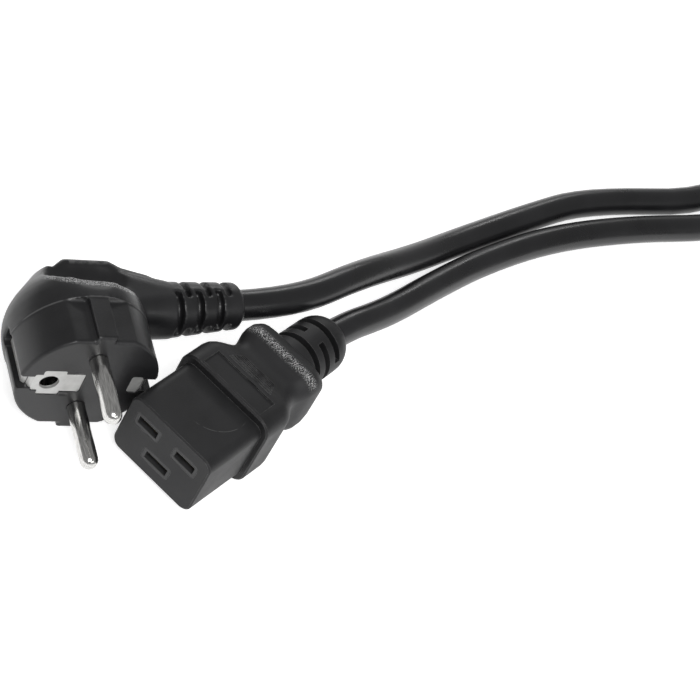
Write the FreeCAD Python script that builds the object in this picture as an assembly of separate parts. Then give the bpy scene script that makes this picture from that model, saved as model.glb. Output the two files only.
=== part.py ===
import FreeCAD, Part
import math
import os

# C19 appliance cord set: a moulded C19 connector, its three-core cord and the
# moulded angled earthed plug on the far end. Millimetres, +Z up.
# The connector lies on its wide side with its mating face towards +X, and the
# origin is on the surface it lies on, under the middle of the connector.

V = FreeCAD.Vector
Z_AXIS = V(0, 0, 1)

# ---- Cord -----------------------------------------------------------------
CORD_D = 8.4
CORE_D = 3.0
STRAND_D = 1.7
CORE_LAY_R = 1.75              # centre of the cord to the centre of a core
BEND_SHARE = 0.45              # share of the shorter run that an arc takes up

# Large rounds are turned in short straight steps of about this many degrees, and
# the small ones of pins and hollows in steps up to twice as large.
ROUND_STEP = 10.0

# ---- Connector: overmoulded shell -------------------------------------------
CONNECTOR_L = 71.5
BLOCK_L = 20.6
BLOCK_W = 27.6
BLOCK_H = 20.0
BLOCK_CORNER_R = 3.0
EDGE_BEVEL = 0.45
GRIP_W = 30.8
GRIP_H = 24.8
GRIP_CORNER_R = 4.5
GRIP_FLAT_L = 7.5              # straight length behind the rim
FALL_STEPS = 7                 # stations from there to the waist
RISE_STEPS = 4                 # stations from the waist to the flange
WAIST_W = 22.4
WAIST_H = 18.6
FLANGE_W = 25.2
FLANGE_H = 22.0
WAIST_AT = 39.2                # distances behind the mating face
RIDGE_AT = 44.6
FLANGE_END_AT = 50.6
PANEL_L = 6.0
PANEL_W = 20.2
PANEL_DEPTH = 0.4
PANEL_SET_BACK = 1.2           # from the front edge of the grip
FINE_RIBS = 7
FINE_RIB_PITCH = 0.78
FINE_RIB_W = 0.34
FINE_RIB_H = 0.3
FINE_RIB_ROW_W = 14.8
FINE_RIB_TAPER = 0.62          # each row is this much shorter than the last
FINE_RIBS_SET_BACK = 8.7

# ---- Connector: contacts and their carrier -----------------------------------
POLE_SPACING = 13.0            # line to neutral
EARTH_OFFSET = 8.0             # pole row to earth
SLOT_H = 2.3
POLE_SLOT_W = 6.4
EARTH_SLOT_W = 7.3
TOWER_WALL = 1.0
TOWER_L = 3.5
TOWER_CORNER_R = 0.8
CARRIER_L = 18.5
CARRIER_WALL = 1.4
CHAMBER_H = 3.7
CHAMBER_AT = 1.6
CONTACT_T = 0.5
CONTACT_AT = 2.4
CONTACT_MOUTH = 2.5
CONTACT_PINCH = 1.7
CONTACT_SIDE_GAP = 0.35
CONTACT_TOP_GAP = 0.1
BARREL_WALL = 0.45
BARREL_L = 6.0
BARREL_GAP = 0.6               # carrier to barrel, and barrel to core
CORE_TURN_AFTER = 4.0          # bare end of a core to its first bend
CORES_MEET_AT = 37.0           # where the cores reach their lay in the cord
JACKET_AT = 40.0
CORES_END_AT = 48.0

# ---- Slotted strain reliefs ------------------------------------------------
RELIEF_SLEEVE_T = 0.7          # unslotted wall on the cord
RELIEF_LIP = 0.3               # wall left on the cord at the connector's end
CONNECTOR_RELIEF_R = 8.5
CONNECTOR_ROUND_AT = 65.1      # where the relief starts to close on the cord
CONNECTOR_ROUND_R = 8.3        # its radius there
CONNECTOR_SLOTS_AT = 54.7
CONNECTOR_SLOT_PITCH = 4.4
CONNECTOR_SLOT_W = 2.1
CONNECTOR_SLOT_ROWS = 3
CONNECTOR_SLOT_SPAN = 144.0
PLUG_RELIEF_R = 7.45
PLUG_RELIEF_END_R = 6.3
PLUG_SLOTS_AT = 28.0
PLUG_SLOT_PITCH = 3.02
PLUG_SLOT_W = 1.8
PLUG_SLOT_ROWS = 6
PLUG_SLOT_SPAN = 106.0
PLUG_SLOT_TURN = -48.0         # middle of the first slot, from the top
PLUG_RELIEF_BEVEL = 1.4

# ---- Plug: shell -------------------------------------------------------------
PLUG_R = 18.4
PLUG_FLAT = 16.6               # axis to each flat
PLUG_RIB_W = 5.2
HANDLE_R = 18.6
ENTRY_L = 13.2                 # face to the step under the handle
SHOULDER_AT = 16.0
SHOULDER_R = 14.0
SHOULDER_TURN = 40.0
FIN_BACK = 35.9                # face to the back of the grip fin
FIN_T = 12.6
FIN_LEFT = -1.2
FIN_RIGHT = 11.4
FIN_EDGE_R = 1.6
SCOOP_R = 10.0
SCOOP_OFF = 14.6
SCOOP_DEPTH_AT = 29.0
SCOOP_FROM = -0.5
SCOOP_TO = 8.0
ARM_END = 48.0                 # pin plane to the end of the strain relief
ARM_END_DEPTH = 27.2           # behind the face, on the arm's axis
ARM_TILT = 6.6                 # degrees away from the face
RELIEF_START = 27.0
ARM_STATIONS = (
    # distance before the relief, half width, half height, corner, set back
    (0.0, 7.45, 7.45, 7.0, 0.0),
    (5.5, 7.5, 7.45, 5.5, 1.0),
    (10.5, 7.8, 7.5, 4.5, 1.9),
    (23.0, 8.4, 7.6, 4.2, 2.6),
)
CHANNEL_W = 4.8
CHANNEL_DEPTH = 2.6
CHANNEL_L = 15.6

# ---- Plug: pins, bridge and earth contacts ----------------------------------
PIN_D = 4.8
PIN_L = 19.0
PIN_SPACING = 19.0
PIN_ROOT = 7.0
PIN_ROOT_D = 4.4               # thinner where the plug is moulded on it
PIN_STEP_AT = 0.2              # the shank starts this far out of the face
PIN_COLLAR_D = 6.6
PIN_COLLAR_AT = 3.0
PIN_COLLAR_L = 2.2
SOCKET_OFF = 10.0              # pin plane to the earth socket
SOCKET_D = 4.9
SOCKET_WALL = 0.7
SOCKET_L = 17.0
STRAP_T = 0.8
STRAP_SINK = 0.2
STRAP_BODY_W = 6.7
STRAP_WIDE_W = 9.2
STRAP_NECK_W = 4.4
STRAP_DIP = 2.2
STRAP_WIDE_L = 6.0
STRAP_BEND_R = 2.0
STRAP_DIP_FROM = -1.5          # where the strap leaves the face between the pins
TOOL_MARK_W = 1.0
TOOL_MARK_L = 2.4
TOOL_MARK_DEPTH = 1.0
BRIDGE_T = 6.4
BRIDGE_WALL = 1.6
WINDOW_L = 2.8
WINDOW_W = 6.1
JACKET_START = 19.0            # pin plane to the cut end of the jacket
CORES_IN_JACKET = 8.0

# ---- Where the plug lies -----------------------------------------------------
PLUG_AT = (41.15, -24.2)
PLUG_YAW = 55.9                # degrees from +X to the way its pins point

# ---- The cord's route, from each end to the coil ------------------------------
CONNECTOR_ROUTE = (
    (-42.0, 0.0, 12.4),
    (-50.0, 0.9, 11.9),
    (-64.0, 2.8, 8.8),
    (-85.0, 3.6, 6.4),
    (-109.0, 5.1, 4.2),
    (-138.0, 12.1, 4.2),
    (-168.0, 25.2, 4.2),
    (-198.0, 42.4, 4.2),
    (-228.0, 50.6, 4.2),
    (-267.0, 51.9, 4.2),
)
PLUG_ROUTE = (
    (-56.0, -8.5, 16.8),
    (-84.0, -5.8, 8.9),
    (-109.0, -3.5, 4.2),
    (-137.0, 2.4, 4.2),
    (-163.0, 8.8, 4.2),
    (-207.0, 35.6, 4.2),
    (-245.0, 31.0, 4.7),
    (-274.0, 8.0, 8.6),
)
PLUG_FIRST_RUN = 18.0

# ---- Coil and its tie ---------------------------------------------------------
COIL_CENTRE = (-364.2, 1.5)
COIL_OUTER_R = 51.6            # centre of the outermost turn
COIL_COLUMNS = 3.25
COIL_LAYERS = 2
COIL_BASE_Z = 1.1
COIL_INSET = 0.2
COIL_CORNER = 0.6              # chamfer as a share of the cord's radius
COIL_IN_ANGLE = 90.0           # where the two leads leave the outermost turn
COIL_OUT_ANGLE = -55.0
COIL_LEAD = 36.0
TIE_T = 0.9
TIE_W = 12.0
TIE_ANGLE = 190.0


# ---- Shared shapes --------------------------------------------------------------
def section(x, half_w, half_h, corner_r):
    """Closed rounded rectangle square to X, centred on the X axis."""
    edges = []
    corners = ((1, 1, 0), (-1, 1, 90), (-1, -1, 180), (1, -1, 270))
    for y_side, z_side, start in corners:
        cy = y_side * (half_w - corner_r)
        cz = z_side * (half_h - corner_r)
        on_arc = []
        for turn in (0, 45, 90):
            angle = math.radians(start + turn)
            on_arc.append(V(x, cy + corner_r * math.cos(angle), cz + corner_r * math.sin(angle)))
        if edges:
            edges.append(Part.LineSegment(edges[-1].Vertexes[-1].Point, on_arc[0]).toShape())
        edges.append(Part.Arc(*on_arc).toShape())
    edges.append(Part.LineSegment(edges[-1].Vertexes[-1].Point, edges[0].Vertexes[0].Point).toShape())
    return Part.Wire(edges)


def bar(x_from, x_to, half_w, half_h, corner_r, y=0.0, z=0.0):
    """Straight rounded bar along X between two stations."""
    face = Part.Face(section(x_from, half_w, half_h, corner_r))
    solid = face.extrude(V(x_to - x_from, 0, 0))
    solid.translate(V(0, y, z))
    return solid


def box(x0, x1, y0, y1, z0, z1):
    return Part.makeBox(x1 - x0, y1 - y0, z1 - z0, V(x0, y0, z0))


def rod(x_from, x_to, radius, y=0.0, z=0.0):
    """Round bar along X, from the lower station to the higher one."""
    return Part.makeCylinder(radius, x_to - x_from, V(x_from, y, z), V(1, 0, 0))


def rounded(x, r, radius, turn, step, towards):
    """(x, r) points of an outline that leaves the direction of X and closes on it."""
    steps = math.ceil(turn / step)
    points = []
    for index in range(steps + 1):
        angle = math.radians(turn * index / steps)
        points.append((x + towards * radius * math.sin(angle), r - radius * (1 - math.cos(angle))))
    return points


def turned(outline):
    """Solid turned about the X axis from (x, radius) points that end on the axis."""
    points = [V(x, 0, r) for x, r in outline]
    points.append(points[0])
    return Part.Face(Part.makePolygon(points)).revolve(V(0, 0, 0), V(1, 0, 0), 360)


def plate(points, z_from, z_to):
    """Flat plate whose outline is given in X and Y."""
    corners = [V(x, y, z_from) for x, y in points]
    corners.append(corners[0])
    return Part.Face(Part.makePolygon(corners)).extrude(V(0, 0, z_to - z_from))


def smooth_path(points):
    """Straight runs joined by tangent arcs, each as large as its runs allow."""
    points = [V(*p) for p in points]
    edges = []
    radii = []
    last = points[0]
    for before, corner, after in zip(points, points[1:], points[2:]):
        back = before - corner
        ahead = after - corner
        reach = BEND_SHARE * min(back.Length, ahead.Length)
        half_turn = (math.pi - back.getAngle(ahead)) / 2
        radius = reach / math.tan(half_turn)
        back.normalize()
        ahead.normalize()
        start = corner + back * reach
        end = corner + ahead * reach
        inward = back + ahead
        inward.normalize()
        middle = corner + inward * (radius / math.cos(half_turn) - radius)
        edges.append(Part.LineSegment(last, start).toShape())
        edges.append(Part.Arc(start, middle, end).toShape())
        radii.append(radius)
        last = end
    edges.append(Part.LineSegment(last, points[-1]).toShape())
    return Part.Wire(edges), radii


def swept(points, radius):
    """Round rod along a smooth path."""
    path, radii = smooth_path(points)
    start = V(*points[0])
    heading = V(*points[1]) - start
    ring = Part.Wire(Part.makeCircle(radius, start, heading))
    return path.makePipeShell([ring], True, True), path.Length, radii


def mitred(points, radius):
    """Round rod along straight runs that meet at mitred corners."""
    start = V(*points[0])
    path = Part.makePolygon([V(*p) for p in points])
    ring = Part.Wire(Part.makeCircle(radius, start, V(*points[1]) - start))
    return path.makePipeShell([ring], True, False, 1)


def bundle(points, radius):
    """Six-sided rod, as seven equal strands lie together; it starts along X."""
    start = V(*points[0])
    corners = []
    for side in range(7):
        turn = math.radians(60 * side)
        corners.append(start + V(0, radius * math.cos(turn), radius * math.sin(turn)))
    path = Part.makePolygon([V(*p) for p in points])
    return path.makePipeShell([Part.makePolygon(corners)], True, False, 1)


def fused(shapes):
    whole = shapes[0]
    for shape in shapes[1:]:
        whole = whole.fuse(shape)
    return whole.removeSplitter()


def cut_all(shape, cutters):
    for cutter in cutters:
        shape = shape.cut(cutter)
    return shape


def one_solid(shape):
    """The biggest solid of a result that should be one solid."""
    return max(shape.Solids, key=lambda solid: solid.Volume)


def slot_cutter(x, width, span, middle, inner_r, outer_r):
    """Part of a flat ring across the X axis, for one strain-relief slot."""
    profile = Part.makePolygon([
        V(x - width / 2, 0, inner_r), V(x + width / 2, 0, inner_r),
        V(x + width / 2, 0, outer_r), V(x - width / 2, 0, outer_r),
        V(x - width / 2, 0, inner_r)])
    ring = Part.Face(profile).revolve(V(0, 0, 0), V(1, 0, 0), span)
    ring.rotate(V(0, 0, 0), V(1, 0, 0), middle - span / 2)
    return ring


def slotted(relief, rows, width, outer_r):
    """Cut two opposite slots a row; rows are (x, first slot's middle, span)."""
    sleeve_r = CORD_D / 2 + RELIEF_SLEEVE_T
    for x, middle, span in rows:
        for side in (0, 180):
            relief = relief.cut(slot_cutter(x, width, span, middle + side, sleeve_r, outer_r))
    return relief


# ---- Connector ----------------------------------------------------------------
FACE_X = CONNECTOR_L / 2
CONNECTOR_Z = GRIP_H / 2
POLES = (
    # name, y, z, slot width, place in the cord's lay in degrees
    ("line", -POLE_SPACING / 2, EARTH_OFFSET / 2, POLE_SLOT_W, 150),
    ("neutral", POLE_SPACING / 2, EARTH_OFFSET / 2, POLE_SLOT_W, 30),
    ("earth", 0.0, -EARTH_OFFSET / 2, EARTH_SLOT_W, 270),
)


def behind(depth):
    """X of a station this far behind the connector's mating face."""
    return FACE_X - depth


def eased(share):
    """Smooth step from 0 to 1."""
    return (1 - math.cos(math.pi * share)) / 2


def grip_sections(grown=0.0):
    """Stations of the waisted grip, from its straight front to the flange's ridge.

    Grown stations are taller, but never taller than the grip's front.
    """
    sizes = []
    fall_from = BLOCK_L + GRIP_FLAT_L
    for step in range(FALL_STEPS):
        share = step / FALL_STEPS
        narrowed = eased(share)
        sizes.append((fall_from + share * (WAIST_AT - fall_from),
                      GRIP_W + narrowed * (WAIST_W - GRIP_W),
                      GRIP_H + narrowed * (WAIST_H - GRIP_H)))
    for step in range(RISE_STEPS + 1):
        share = step / RISE_STEPS
        widened = math.sin(share * math.pi / 2) ** 2
        sizes.append((WAIST_AT + share * (RIDGE_AT - WAIST_AT),
                      WAIST_W + widened * (FLANGE_W - WAIST_W),
                      WAIST_H + widened * (FLANGE_H - WAIST_H)))
    return [section(behind(at), wide / 2, min(high / 2 + grown, GRIP_H / 2), GRIP_CORNER_R)
            for at, wide, high in sizes]


def rear_flange():
    """Rounded back of the flange, steeper above and below than at its sides."""
    stations = (
        (RIDGE_AT, FLANGE_W, FLANGE_H),
        (RIDGE_AT + 2.5, FLANGE_W + 0.2, FLANGE_H - 0.9),
        (FLANGE_END_AT - 1.2, FLANGE_W - 0.4, FLANGE_H - 3.0),
        (FLANGE_END_AT, FLANGE_W - 3.0, FLANGE_H - 5.0),
    )
    wires = [section(behind(at), wide / 2, high / 2, GRIP_CORNER_R) for at, wide, high in stations]
    return Part.makeLoft(wires, True, True)


def fine_ribs():
    """Rows of fine ribs across the grip, following its falling surface."""
    skin = Part.makeLoft(grip_sections(FINE_RIB_H), True, True)
    rows = []
    for row in range(FINE_RIBS):
        x = behind(BLOCK_L + FINE_RIBS_SET_BACK + row * FINE_RIB_PITCH)
        half = (FINE_RIB_ROW_W - row * FINE_RIB_TAPER) / 2
        rows.append(box(x - FINE_RIB_W / 2, x + FINE_RIB_W / 2, -half, half, -GRIP_H, GRIP_H))
    return [skin.common(row) for row in rows]


def bevel_fronted(x_from, x_to, width, height, corner_r):
    """Bar along X with a bevel round its front."""
    shape = bar(x_from, x_to, width / 2, height / 2, corner_r)
    front_edges = [edge for edge in shape.Edges
                   if all(abs(vertex.X - x_to) < 0.01 for vertex in edge.Vertexes)]
    return shape.makeChamfer(EDGE_BEVEL, front_edges)


def connector_relief():
    """Slotted sleeve behind the flange that closes on the cord in one large round."""
    root = behind(FLANGE_END_AT - 1)
    length = CONNECTOR_L - CONNECTOR_ROUND_AT
    drop = CONNECTOR_ROUND_R - CORD_D / 2 - RELIEF_LIP
    round_r = (length ** 2 + drop ** 2) / (2 * drop)
    turn = math.degrees(math.asin(length / round_r))
    outline = [(root, 0), (root, CONNECTOR_RELIEF_R)]
    outline += rounded(behind(CONNECTOR_ROUND_AT), CONNECTOR_ROUND_R, round_r, turn, ROUND_STEP, -1)
    outline.append((behind(CONNECTOR_L), 0))
    rows = []
    for row in range(CONNECTOR_SLOT_ROWS):
        at = behind(CONNECTOR_SLOTS_AT + row * CONNECTOR_SLOT_PITCH)
        rows.append((at, 90 * (row % 2), CONNECTOR_SLOT_SPAN))
    return slotted(turned(outline), rows, CONNECTOR_SLOT_W, CONNECTOR_RELIEF_R + 1)


def connector_form():
    """Outside of the connector's overmoulding, on the X axis."""
    block = bevel_fronted(behind(BLOCK_L + 2), FACE_X, BLOCK_W, BLOCK_H, BLOCK_CORNER_R)
    front = bevel_fronted(behind(BLOCK_L + GRIP_FLAT_L), behind(BLOCK_L),
                          GRIP_W, GRIP_H, GRIP_CORNER_R)
    waist = Part.makeLoft(grip_sections(), True, True)
    form = fused([block, front, waist, rear_flange(), connector_relief()] + fine_ribs())
    panel_front = behind(BLOCK_L + PANEL_SET_BACK)
    panel = box(panel_front - PANEL_L, panel_front, -PANEL_W / 2, PANEL_W / 2,
                GRIP_H / 2 - PANEL_DEPTH, GRIP_H)
    return form.cut(panel)


def carrier_form():
    """Outside of the contact carrier: a block with a tower round each slot."""
    half_w = POLE_SPACING / 2 + POLE_SLOT_W / 2 + CARRIER_WALL
    half_h = EARTH_OFFSET / 2 + CHAMBER_H / 2 + CARRIER_WALL
    pieces = [bar(behind(CARRIER_L), behind(TOWER_L), half_w, half_h, 1.2)]
    for name, y, z, slot_w, lay in POLES:
        pieces.append(bar(behind(TOWER_L + 1), FACE_X, slot_w / 2 + TOWER_WALL,
                          SLOT_H / 2 + TOWER_WALL, TOWER_CORNER_R, y, z))
    return fused(pieces)


def contact_carrier(form):
    for name, y, z, slot_w, lay in POLES:
        form = form.cut(box(behind(CHAMBER_AT + 1), FACE_X + 1, y - slot_w / 2, y + slot_w / 2,
                            z - SLOT_H / 2, z + SLOT_H / 2))
        form = form.cut(box(behind(CARRIER_L), behind(CHAMBER_AT), y - slot_w / 2, y + slot_w / 2,
                            z - CHAMBER_H / 2, z + CHAMBER_H / 2))
    return form


def crimp(x_end, y, z):
    """Crimp barrel towards -X with its closed end at x_end, and its outside."""
    outer_r = STRAND_D / 2 + BARREL_WALL
    outside = rod(x_end - BARREL_L, x_end, outer_r, y, z)
    bore = rod(x_end - BARREL_L, x_end - BARREL_GAP, STRAND_D / 2, y, z)
    return outside.cut(bore), outside


def socket_contact(y, z, slot_w):
    """Folded two-leaf contact on its crimp barrel, and the tail's outside."""
    mouth = behind(CONTACT_AT)
    pinch = mouth - 2.4
    straight = pinch - 4.0
    web = behind(CARRIER_L - 1.0)
    body_half = CHAMBER_H / 2 - CONTACT_TOP_GAP - CONTACT_T
    inner = ((mouth, CONTACT_MOUTH / 2), (pinch, CONTACT_PINCH / 2), (straight, body_half),
             (web + CONTACT_T, body_half))
    outer = [(x, half + CONTACT_T) for x, half in inner[:-1]]
    outer.append((web, body_half + CONTACT_T))
    upper = list(inner[::-1]) + outer
    lower = [(x, -half) for x, half in upper[::-1]]
    half_w = slot_w / 2 - CONTACT_SIDE_GAP
    corners = [V(x, y - half_w, z + half) for x, half in upper + lower]
    corners.append(corners[0])
    leaves = Part.Face(Part.makePolygon(corners)).extrude(V(0, 2 * half_w, 0))
    barrel_end = behind(CARRIER_L + BARREL_GAP)
    tail = box(barrel_end, web, y - STRAND_D / 2, y + STRAND_D / 2, z - CONTACT_T, z + CONTACT_T)
    barrel, outside = crimp(barrel_end, y, z)
    return fused([leaves, tail, barrel]), tail.fuse(outside)


def core_and_strands(points, core_start):
    """Copper strands along a path and their insulation beyond core_start."""
    strands = bundle(points, STRAND_D / 2)
    filled = mitred(points, CORE_D / 2)
    filled = one_solid(filled.cut(core_start))
    return filled.cut(strands), strands, filled


def build_connector():
    """Every piece of the connector, by node name, resting on Z = 0."""
    nodes = {}
    carrier = carrier_form()
    nodes["contact_carrier"] = contact_carrier(carrier)
    jacket = rod(behind(CONNECTOR_L), behind(JACKET_AT), CORD_D / 2)
    hollows = [carrier, jacket]
    bare_end = CARRIER_L + 2 * BARREL_GAP + BARREL_L
    still_bare = box(behind(bare_end), FACE_X, -BLOCK_W, BLOCK_W, -BLOCK_H, BLOCK_H)
    for name, y, z, slot_w, lay in POLES:
        contact, tail = socket_contact(y, z, slot_w)
        lay_y = CORE_LAY_R * math.cos(math.radians(lay))
        lay_z = CORE_LAY_R * math.sin(math.radians(lay))
        route = (
            (behind(CARRIER_L + 2 * BARREL_GAP), y, z),
            (behind(bare_end + CORE_TURN_AFTER), y, z),
            (behind(CORES_MEET_AT), lay_y, lay_z),
            (behind(CORES_END_AT), lay_y, lay_z),
        )
        core, strands, filled = core_and_strands(route, still_bare)
        nodes[name + "_contact"] = contact
        nodes["connector_" + name + "_core"] = core
        nodes["connector_" + name + "_strands"] = strands
        jacket = jacket.cut(filled)
        hollows += [tail, filled, strands]
    nodes["connector_jacket"] = jacket
    nodes["connector_shell"] = one_solid(cut_all(connector_form(), hollows))
    for shape in nodes.values():
        shape.translate(V(0, 0, CONNECTOR_Z))
    return nodes


# ---- Plug, modelled with its face on X = 0 and its cord leaving towards +Y -------
STRAP_BACK = -STRAP_SINK - STRAP_T
CHANNEL_FLOOR = PLUG_R - CHANNEL_DEPTH
STRAP_SIDE = CHANNEL_FLOOR + STRAP_T / 2
STRAP_BEND = STRAP_SIDE - STRAP_BEND_R
WIDE_FROM = -SOCKET_OFF - STRAP_WIDE_L * 0.4
WIDE_TO = WIDE_FROM + STRAP_WIDE_L


def pin(z):
    """Round contact pin with its collar and crimp barrel, and its outside."""
    tip_r = PIN_D / 2
    outline = [(-PIN_ROOT, 0), (-PIN_ROOT, PIN_ROOT_D / 2),
               (PIN_STEP_AT, PIN_ROOT_D / 2), (PIN_STEP_AT, tip_r)]
    outline += rounded(PIN_L - tip_r, tip_r, tip_r, 90, 2 * ROUND_STEP, 1)
    shank = turned(outline)
    shank.translate(V(0, 0, z))
    collar = rod(-PIN_COLLAR_AT - PIN_COLLAR_L, -PIN_COLLAR_AT, PIN_COLLAR_D / 2, 0, z)
    barrel, outside = crimp(-PIN_ROOT, 0, z)
    solid = fused([shank, collar, barrel])
    return solid, fused([shank, collar, outside])


def folded_strip(path, width):
    """Strip of the strap's thickness folded along (y, x) points, width along Z."""
    sides = ([], [])
    for index, (y, x) in enumerate(path):
        before = path[max(index - 1, 0)]
        after = path[min(index + 1, len(path) - 1)]
        headings = []
        for start, end in ((before, (y, x)), ((y, x), after)):
            if start != end:
                heading = V(end[1] - start[1], end[0] - start[0], 0)
                headings.append(heading.normalize())
        along = headings[0] + headings[-1]
        along.normalize()
        square = V(-along.y, along.x, 0)
        half = STRAP_T / 2 / along.dot(headings[0])
        for side, sign in zip(sides, (1, -1)):
            side.append((x + sign * half * square.x, y + sign * half * square.y))
    return plate(sides[0] + sides[1][::-1], -width / 2, width / 2)


def earth_strap():
    """One folded strip: socket plate, dip between the pins, two side contacts."""
    level = (STRAP_BACK - STRAP_SINK) / 2
    foot = -CHANNEL_L + 1.0
    dip = level - STRAP_DIP
    window_from = STRAP_BEND - WINDOW_L
    path = (
        (-STRAP_SIDE, foot), (-STRAP_SIDE, level - 1.8), (-STRAP_BEND, level),
        (STRAP_DIP_FROM, level), (STRAP_DIP_FROM + 1.7, dip), (window_from - 1.6, dip),
        (window_from, level), (STRAP_BEND, level), (STRAP_SIDE, level - 1.8), (STRAP_SIDE, foot),
    )
    strip = folded_strip(path, STRAP_WIDE_W)
    blanks = fused([
        box(-CHANNEL_L, 0, -PLUG_R, PLUG_R, -STRAP_NECK_W / 2, STRAP_NECK_W / 2),
        box(-CHANNEL_L, 0, -STRAP_BEND, STRAP_BEND, -WINDOW_W / 2, WINDOW_W / 2),
        box(-CHANNEL_L, 0, WIDE_FROM, window_from, -STRAP_BODY_W / 2, STRAP_BODY_W / 2),
        box(-CHANNEL_L, 0, WIDE_FROM, WIDE_TO, -STRAP_WIDE_W / 2, STRAP_WIDE_W / 2)])
    strap = strip.common(blanks)
    return strap.cut(rod(STRAP_BACK - 1, 0, SOCKET_D / 2 + 0.1, -SOCKET_OFF, 0))


def face_pockets():
    """What is open in the plug's face: the strap's windows and two tool marks."""
    spans = (
        (-CHANNEL_FLOOR, -STRAP_BEND, STRAP_NECK_W),
        (-STRAP_BEND, WIDE_FROM, WINDOW_W),
        (WIDE_FROM, WIDE_TO, STRAP_WIDE_W),
        (WIDE_TO, STRAP_DIP_FROM, STRAP_BODY_W),
        (STRAP_BEND - WINDOW_L, STRAP_BEND, WINDOW_W),
        (STRAP_BEND, CHANNEL_FLOOR, STRAP_NECK_W),
    )
    pockets = [box(STRAP_BACK, 1, start, end, -width / 2, width / 2)
               for start, end, width in spans]
    for y, z in ((-2.85, STRAP_BODY_W / 2), (-5.1, -STRAP_WIDE_W / 2)):
        pockets.append(box(-TOOL_MARK_DEPTH, 1, y - TOOL_MARK_L / 2, y + TOOL_MARK_L / 2,
                           z - TOOL_MARK_W / 2, z + TOOL_MARK_W / 2))
    return pockets


def earth_sleeve():
    """Socket behind the strap's hole with its crimp barrel, and its outside."""
    outer_r = SOCKET_D / 2 + SOCKET_WALL
    outside = rod(-SOCKET_L, STRAP_BACK, outer_r, -SOCKET_OFF, 0)
    bore = rod(-SOCKET_L + SOCKET_WALL, STRAP_BACK, SOCKET_D / 2, -SOCKET_OFF, 0)
    barrel, barrel_outside = crimp(-SOCKET_L, -SOCKET_OFF, 0)
    return fused([outside.cut(bore), barrel]), fused([outside, barrel_outside])


def bridge_form():
    """Outside of the moulded bridge that holds both pins and the earth socket."""
    back = STRAP_BACK - BRIDGE_T
    half_h = PIN_SPACING / 2 + PIN_COLLAR_D / 2 + BRIDGE_WALL / 2
    half_w = PIN_COLLAR_D / 2 + BRIDGE_WALL / 2
    arm_half_h = STRAP_WIDE_W / 2 + BRIDGE_WALL / 2
    across = bar(back, STRAP_BACK, half_w, half_h, 1.5)
    reach = SOCKET_OFF + SOCKET_D / 2 + SOCKET_WALL + BRIDGE_WALL
    arm = box(back, STRAP_BACK, -reach, 0, -arm_half_h, arm_half_h)
    return fused([across, arm])


def entry_body():
    """The round part that enters a socket: two flats, each with a guide rib."""
    body = rod(-ENTRY_L - 1, 0, PLUG_R)
    for side in (1, -1):
        beyond = box(-ENTRY_L - 2, 1, -PLUG_R, PLUG_R, PLUG_FLAT, PLUG_R + 1)
        rib = box(-ENTRY_L - 1, 0, -PLUG_RIB_W / 2, PLUG_RIB_W / 2, PLUG_FLAT - 1, HANDLE_R - 0.2)
        if side < 0:
            beyond.rotate(V(0, 0, 0), V(1, 0, 0), 180)
            rib.rotate(V(0, 0, 0), V(1, 0, 0), 180)
        body = body.cut(beyond).fuse(rib)
    body = body.removeSplitter()
    face_edges = [edge for edge in body.Edges
                  if all(abs(vertex.X) < 0.01 for vertex in edge.Vertexes)]
    return body.makeChamfer(EDGE_BEVEL, face_edges)


def handle_dome():
    """Turned back of the handle: a short drum, a large rounded shoulder and a cone."""
    outline = [(-ENTRY_L, 0), (-ENTRY_L, HANDLE_R)]
    outline += rounded(-SHOULDER_AT, HANDLE_R, SHOULDER_R, SHOULDER_TURN, ROUND_STEP, -1)
    cone_x = -FIN_BACK + 3.0
    x, r = outline[-1]
    outline.append((cone_x, r + (cone_x - x) * math.tan(math.radians(SHOULDER_TURN))))
    outline.append((cone_x, 0))
    return turned(outline)


def grip_fin():
    """Flat fin along the cord's direction that the fingers pull on."""
    slope_foot = (-FIN_BACK + 8.5, -SOCKET_OFF - 0.4)
    outline = (
        (-SHOULDER_AT, -HANDLE_R + 4.0), slope_foot, (-FIN_BACK, FIN_LEFT),
        (-FIN_BACK, FIN_RIGHT), (-FIN_BACK + 2.2, FIN_RIGHT + 3.0),
        (-FIN_BACK + 4.6, FIN_RIGHT + 11.0), (-SHOULDER_AT - 8.0, FIN_RIGHT + 11.0),
        (-SHOULDER_AT, FIN_RIGHT),
    )
    fin = plate(outline, -FIN_T / 2, FIN_T / 2)
    upright = [edge for edge in fin.Edges
               if abs(edge.Vertexes[0].Z - edge.Vertexes[-1].Z) > 1
               and edge.Vertexes[0].X < -SHOULDER_AT - 1]
    return fin.makeFillet(FIN_EDGE_R, upright)


def in_arm_frame(shape):
    """Turn a shape built along X, ending at X = 0, into the tilted arm's place."""
    shape.rotate(V(0, 0, 0), Z_AXIS, -(90 - ARM_TILT))
    shape.translate(V(-ARM_END_DEPTH, ARM_END, 0))
    return shape


def arm():
    """Arm that flares from the strain relief's root into the handle and the fin."""
    root = ARM_END - RELIEF_START
    wires = []
    for before, half_w, half_h, corner_r, set_back in ARM_STATIONS:
        wire = section(root + before, half_w, half_h, corner_r)
        wire.translate(V(0, -set_back, 0))
        wires.append(wire)
    return Part.makeLoft(wires, True, True)


def plug_relief():
    """Slotted, tapered sleeve at the arm's end, in the arm's frame."""
    root = ARM_END - RELIEF_START
    outline = [(root, 0), (root, PLUG_RELIEF_R), (PLUG_RELIEF_BEVEL, PLUG_RELIEF_END_R),
               (0, PLUG_RELIEF_END_R - PLUG_RELIEF_BEVEL), (0, 0)]
    rows = []
    for row in range(PLUG_SLOT_ROWS):
        at = ARM_END - PLUG_SLOTS_AT - row * PLUG_SLOT_PITCH
        rows.append((at, PLUG_SLOT_TURN + 90 * (row % 2), PLUG_SLOT_SPAN))
    return slotted(turned(outline), rows, PLUG_SLOT_W, PLUG_RELIEF_R + 1)


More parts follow.
